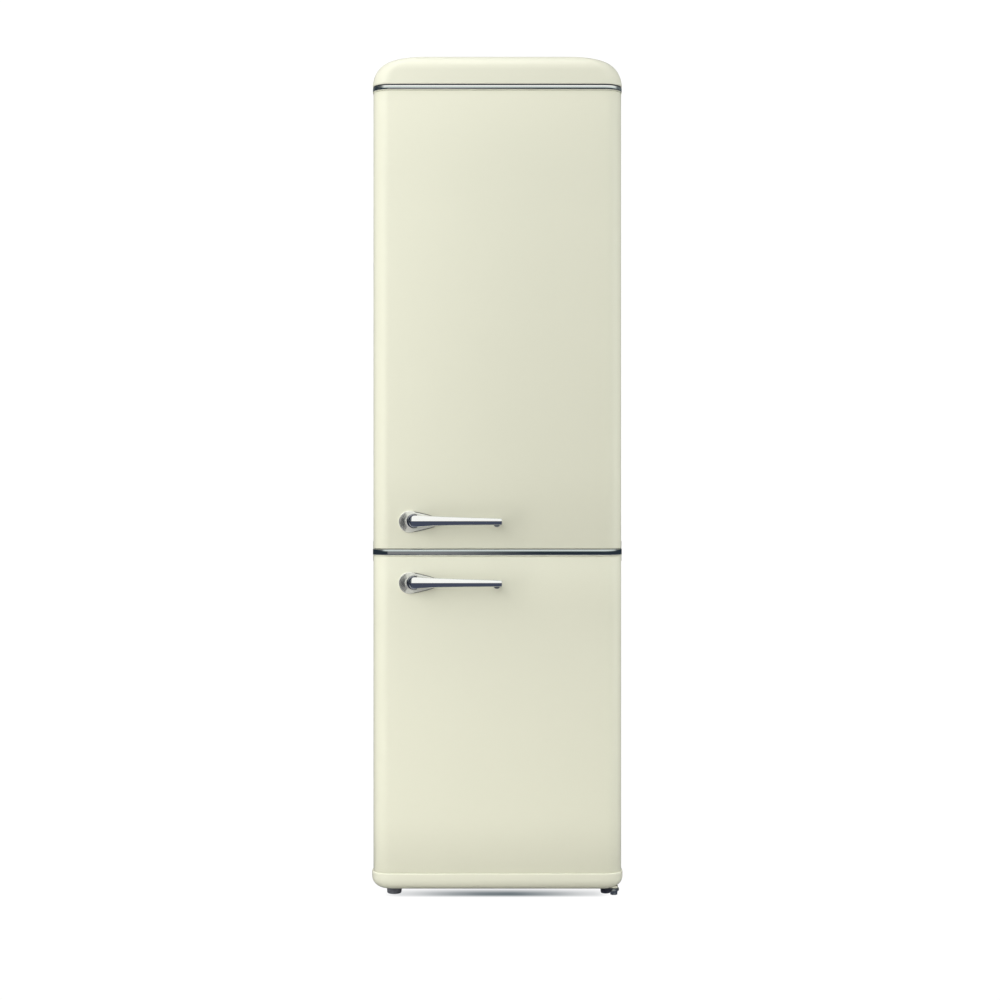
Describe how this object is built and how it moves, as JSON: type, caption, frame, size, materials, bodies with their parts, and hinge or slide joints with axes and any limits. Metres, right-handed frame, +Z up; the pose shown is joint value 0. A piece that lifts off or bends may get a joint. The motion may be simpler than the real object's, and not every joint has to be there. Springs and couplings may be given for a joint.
{
  "type": "fridge freezer",
  "caption": "Tall free-standing retro fridge-freezer with rounded cream doors, chrome bands and lever-look handles, a rounded top cover and a fitted interior.",
  "frame": {"origin": "centre of the whole object's footprint box, on the floor", "axes": "+Z up, the doors face -Y, +X to the right of someone facing the doors"},
  "size_m": [0.5564, 0.6459, 1.86],
  "materials": {
    "cream_enamel": "gloss",
    "cream_plastic": "gloss",
    "chrome_trim": "polished",
    "zinc": "satin",
    "galvanised": "satin",
    "foam": "matte",
    "liner_white": "gloss",
    "dark_plastic": "satin",
    "foot_grey": "satin",
    "black_enamel": "satin",
    "grommet_rubber": "matte",
    "tray_plastic": "satin",
    "copper_pipe": "satin",
    "evaporator_white": "satin",
    "dial_grey": "gloss",
    "lamp_diffuser": "satin",
    "shelf_glass": "gloss",
    "trim_white": "gloss",
    "clear_plastic": "gloss",
    "frosted_plastic": "satin",
    "gasket_rubber": "matte"
  },
  "bodies": {
    "cabinet": {"cabinet_wrap": "cream_enamel", "back_panel": "galvanised", "bottom_pan": "galvanised", "mid_rail": "cream_enamel", "insulation_foam": "foam", "fridge_liner": "liner_white", "freezer_liner": "liner_white", "top_cover": "cream_plastic", "top_chrome_band": "chrome_trim", "mid_chrome_band": "chrome_trim", "band_carriers": "dark_plastic", "band_side_clips": "tray_plastic", "top_hinge": "zinc", "middle_hinge": "zinc", "bottom_hinge": "zinc", "hinge_screws": "zinc", "foot_brackets": "zinc", "roller_brackets": "galvanised", "compressor_base": "galvanised", "compressor": "black_enamel", "compressor_grommets": "grommet_rubber", "terminal_box": "dark_plastic", "evaporation_tray": "tray_plastic", "drain_tube": "tray_plastic", "refrigerant_pipes": "copper_pipe", "filter_drier": "copper_pipe", "condenser_coil": "black_enamel", "condenser_wires": "black_enamel", "condenser_spacers": "dark_plastic", "freezer_evaporator": "evaporator_white", "control_box": "liner_white", "lamp_cover": "lamp_diffuser", "glass_shelves": "shelf_glass", "shelf_trims": "trim_white"},
    "upper_door": {"upper_door_skin": "cream_enamel", "upper_door_foam": "foam", "upper_door_liner": "liner_white", "upper_door_gasket": "gasket_rubber", "upper_door_end_caps": "cream_plastic", "door_racks": "clear_plastic", "upper_handle_plate": "chrome_trim", "upper_handle_bar": "chrome_trim"},
    "dairy_lid": {"dairy_lid": "clear_plastic"},
    "lower_door": {"lower_door_skin": "cream_enamel", "lower_door_foam": "foam", "lower_door_liner": "liner_white", "lower_door_gasket": "gasket_rubber", "lower_door_end_trims": "cream_plastic", "lower_handle": "chrome_trim"},
    "thermostat_dial": {"thermostat_dial": "dial_grey"},
    "crisper_drawer": {"crisper_drawer": "clear_plastic"},
    "freezer_drawer_upper": {"freezer_drawer_upper": "frosted_plastic"},
    "freezer_drawer_middle": {"freezer_drawer_middle": "frosted_plastic"},
    "freezer_drawer_lower": {"freezer_drawer_lower": "frosted_plastic"},
    "front_foot_left": {"front_foot_left": "foot_grey", "foot_screw_left": "zinc"},
    "front_foot_right": {"front_foot_right": "foot_grey", "foot_screw_right": "zinc"},
    "rear_roller_left": {"rear_roller_left": "dark_plastic"},
    "rear_roller_right": {"rear_roller_right": "dark_plastic"}
  },
  "joints": [
    {"name": "upper_door_hinge", "type": "hinge", "parent": "cabinet", "child": "upper_door", "pos_m": [0.258, -0.25, 1.28], "axis": [0, 0, 1], "range_deg": [0, 120]},
    {"name": "lower_door_hinge", "type": "hinge", "parent": "cabinet", "child": "lower_door", "pos_m": [0.258, -0.25, 0.4], "axis": [0, 0, 1], "range_deg": [0, 120]},
    {"name": "dairy_lid_hinge", "type": "hinge", "parent": "upper_door", "child": "dairy_lid", "pos_m": [0, -0.189, 1.622], "axis": [1, 0, 0], "range_deg": [0, 85]},
    {"name": "thermostat_turn", "type": "hinge", "parent": "cabinet", "child": "thermostat_dial", "pos_m": [-0.085, -0.08, 1.728], "axis": [0, -1, 0], "range_deg": [0, 270]},
    {"name": "crisper_slide", "type": "slide", "parent": "cabinet", "child": "crisper_drawer", "axis": [0, -1, 0], "range_m": [0, 0.025]},
    {"name": "freezer_drawer_upper_slide", "type": "slide", "parent": "cabinet", "child": "freezer_drawer_upper", "axis": [0, -1, 0], "range_m": [0, 0.025]},
    {"name": "freezer_drawer_middle_slide", "type": "slide", "parent": "cabinet", "child": "freezer_drawer_middle", "axis": [0, -1, 0], "range_m": [0, 0.025]},
    {"name": "freezer_drawer_lower_slide", "type": "slide", "parent": "cabinet", "child": "freezer_drawer_lower", "axis": [0, -1, 0], "range_m": [0, 0.025]},
    {"name": "front_foot_left_screw", "type": "hinge", "parent": "cabinet", "child": "front_foot_left", "pos_m": [-0.23, -0.2125, 0.02], "axis": [0, 0, 1], "continuous": true},
    {"name": "front_foot_right_screw", "type": "hinge", "parent": "cabinet", "child": "front_foot_right", "pos_m": [0.242, -0.2125, 0.02], "axis": [0, 0, 1], "continuous": true},
    {"name": "rear_roller_left_spin", "type": "hinge", "parent": "cabinet", "child": "rear_roller_left", "pos_m": [-0.225, 0.225, 0.014], "axis": [1, 0, 0], "continuous": true},
    {"name": "rear_roller_right_spin", "type": "hinge", "parent": "cabinet", "child": "rear_roller_right", "pos_m": [0.225, 0.225, 0.014], "axis": [1, 0, 0], "continuous": true}
  ]
}
